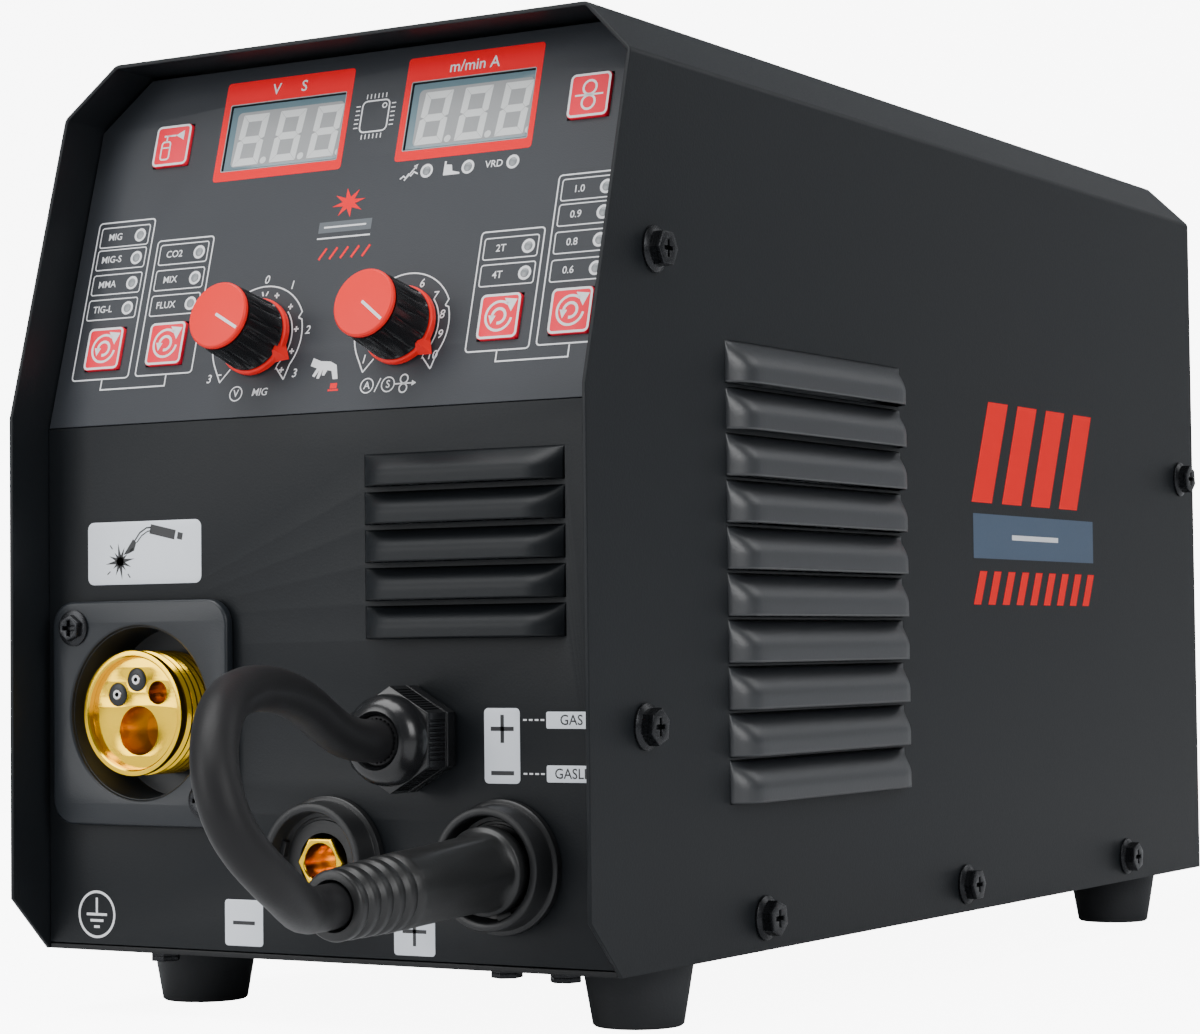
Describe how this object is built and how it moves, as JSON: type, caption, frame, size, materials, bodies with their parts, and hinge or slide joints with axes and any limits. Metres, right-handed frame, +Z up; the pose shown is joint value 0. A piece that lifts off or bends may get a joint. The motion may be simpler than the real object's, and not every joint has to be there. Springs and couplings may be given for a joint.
{
  "type": "tig welder",
  "caption": "Portable inverter welder with a recessed sheet steel case, tilted control panel, torch and cable sockets, wire feeder door and folding handle.",
  "frame": {"origin": "under the middle of the welder without its free lead, on the surface the feet stand on", "axes": "+Z up; the control panel faces -Y; +X is to the operator's right; the case is long in Y"},
  "size_m": [0.2026, 0.5633, 0.2845],
  "materials": {
    "powder_coat": "fine satin charcoal powder coat",
    "graphic_face": "printed polycarbonate",
    "zinc_sheet": "zinc plated sheet",
    "black_plastic": "moulded nylon",
    "black_rubber": "moulded rubber",
    "red_plastic": "moulded, semi-gloss",
    "brass": "turned",
    "steel": "turned",
    "aluminium": "extruded or cast",
    "circuit_board": "solder resist",
    "display": "tinted seven-segment module",
    "enamelled_copper": "enamelled winding on a laminated core",
    "spool_plastic": "moulded spool with its wire"
  },
  "bodies": {
    "case": {"cover_shell": "powder_coat", "base_tray": "powder_coat", "front_panel": "powder_coat", "control_overlay": "graphic_face", "rear_panel": "powder_coat", "centre_divider": "zinc_sheet", "foot_front_left": "black_rubber", "foot_rear_left": "black_rubber", "foot_front_right": "black_rubber", "foot_rear_right": "black_rubber", "handle_bracket_front": "black_plastic", "handle_bracket_rear": "black_plastic", "potentiometer_left": "steel", "potentiometer_right": "steel", "display_left": "display", "display_right": "display", "control_board": "circuit_board", "euro_flange": "black_plastic", "euro_body": "brass", "gland_body": "black_plastic", "gland_nut": "black_plastic", "socket_minus_housing": "black_plastic", "socket_minus_insert": "brass", "socket_plus_housing": "black_plastic", "socket_plus_insert": "brass", "polarity_lead": "black_rubber", "power_switch_frame": "black_plastic", "mains_gland": "black_plastic", "gas_valve": "brass", "fan_frame": "black_plastic", "feed_plate": "aluminium", "feed_motor": "steel", "spool_spindle": "black_plastic", "power_board": "circuit_board", "heat_sink": "aluminium", "main_transformer": "enamelled_copper"},
    "door": {"side_door": "powder_coat"},
    "latch": {"door_latch": "black_plastic"},
    "handle": {"handle_bail": "powder_coat", "handle_grip": "black_rubber"},
    "knob_left": {"knob_left_body": "black_plastic", "knob_left_cap": "red_plastic", "knob_left_pointer": "red_plastic"},
    "knob_right": {"knob_right_body": "black_plastic", "knob_right_cap": "red_plastic", "knob_right_pointer": "red_plastic"},
    "plug": {"plug_sleeve": "black_rubber", "plug_pin": "brass"},
    "rocker": {"power_switch_rocker": "red_plastic"},
    "fan": {"fan_rotor": "black_plastic"},
    "spool": {"wire_spool": "spool_plastic"},
    "drive": {"drive_roll": "steel"},
    "arm": {"pressure_arm": "black_plastic"},
    "idler": {"pressure_roll": "steel"},
    "button_gas_test": {"button_gas_test": "red_plastic"},
    "button_wire_inch": {"button_wire_inch": "red_plastic"},
    "button_process": {"button_process": "red_plastic"},
    "button_gas_type": {"button_gas_type": "red_plastic"},
    "button_trigger_mode": {"button_trigger_mode": "red_plastic"},
    "button_wire_size": {"button_wire_size": "red_plastic"}
  },
  "joints": [
    {"name": "door_hinge", "type": "hinge", "parent": "case", "child": "door", "pos_m": [-0.09545, 0.1836, 0.1415], "axis": [0, 0, -1], "range_deg": [0, 110]},
    {"name": "latch_turn", "type": "hinge", "parent": "door", "child": "latch", "pos_m": [-0.09225, -0.1494, 0.1415], "axis": [1, 0, 0], "range_deg": [0, 90]},
    {"name": "handle_swing", "type": "hinge", "parent": "case", "child": "handle", "pos_m": [0.01675, -0.0034, 0.2765], "axis": [0, 1, 0], "range_deg": [0, 90]},
    {"name": "knob_left_turn", "type": "hinge", "parent": "case", "child": "knob_left", "pos_m": [-0.02105, -0.20062, 0.18519], "axis": [0, -0.9641, 0.2656], "range_deg": [-18, 257]},
    {"name": "knob_right_turn", "type": "hinge", "parent": "case", "child": "knob_right", "pos_m": [0.02675, -0.20057, 0.18538], "axis": [0, -0.9641, 0.2656], "range_deg": [-10, 265]},
    {"name": "plug_twist", "type": "hinge", "parent": "case", "child": "plug", "pos_m": [0.06095, -0.2066, 0.0443], "axis": [0, -0.9984, -0.0558], "range_deg": [0, 90]},
    {"name": "rocker_tip", "type": "hinge", "parent": "case", "child": "rocker", "pos_m": [-0.05625, 0.2046, 0.2135], "axis": [-1, 0, 0], "range_deg": [0, 16]},
    {"name": "fan_spin", "type": "hinge", "parent": "case", "child": "fan", "pos_m": [0.03775, 0.1886, 0.1895], "axis": [0, 1, 0], "continuous": true},
    {"name": "spool_spin", "type": "hinge", "parent": "case", "child": "spool", "pos_m": [-0.04425, 0.0746, 0.1435], "axis": [1, 0, 0], "continuous": true},
    {"name": "drive_roll_spin", "type": "hinge", "parent": "case", "child": "drive", "pos_m": [-0.05535, -0.0994, 0.0631], "axis": [1, 0, 0], "continuous": true},
    {"name": "pressure_arm_lift", "type": "hinge", "parent": "case", "child": "arm", "pos_m": [-0.05535, -0.1274, 0.0901], "axis": [1, 0, 0], "range_deg": [0, 50]},
    {"name": "pressure_roll_spin", "type": "hinge", "parent": "arm", "child": "idler", "pos_m": [-0.05535, -0.0994, 0.0901], "axis": [1, 0, 0], "continuous": true},
    {"name": "gas_test_press", "type": "slide", "parent": "case", "child": "button_gas_test", "axis": [0, 0.9641, -0.2656], "range_m": [0, 0.001], "stiffness_N_per_m": 300, "springref_m": -0.0005},
    {"name": "wire_inch_press", "type": "slide", "parent": "case", "child": "button_wire_inch", "axis": [0, 0.9641, -0.2656], "range_m": [0, 0.001], "stiffness_N_per_m": 300, "springref_m": -0.0005},
    {"name": "process_press", "type": "slide", "parent": "case", "child": "button_process", "axis": [0, 0.9641, -0.2656], "range_m": [0, 0.001], "stiffness_N_per_m": 300, "springref_m": -0.0005},
    {"name": "gas_type_press", "type": "slide", "parent": "case", "child": "button_gas_type", "axis": [0, 0.9641, -0.2656], "range_m": [0, 0.001], "stiffness_N_per_m": 300, "springref_m": -0.0005},
    {"name": "trigger_mode_press", "type": "slide", "parent": "case", "child": "button_trigger_mode", "axis": [0, 0.9641, -0.2656], "range_m": [0, 0.001], "stiffness_N_per_m": 300, "springref_m": -0.0005},
    {"name": "wire_size_press", "type": "slide", "parent": "case", "child": "button_wire_size", "axis": [0, 0.9641, -0.2656], "range_m": [0, 0.001], "stiffness_N_per_m": 300, "springref_m": -0.0005}
  ],
  "couplings": [
    {"joint": "pressure_roll_spin", "follows": "drive_roll_spin", "ratio": -1.3636}
  ]
}
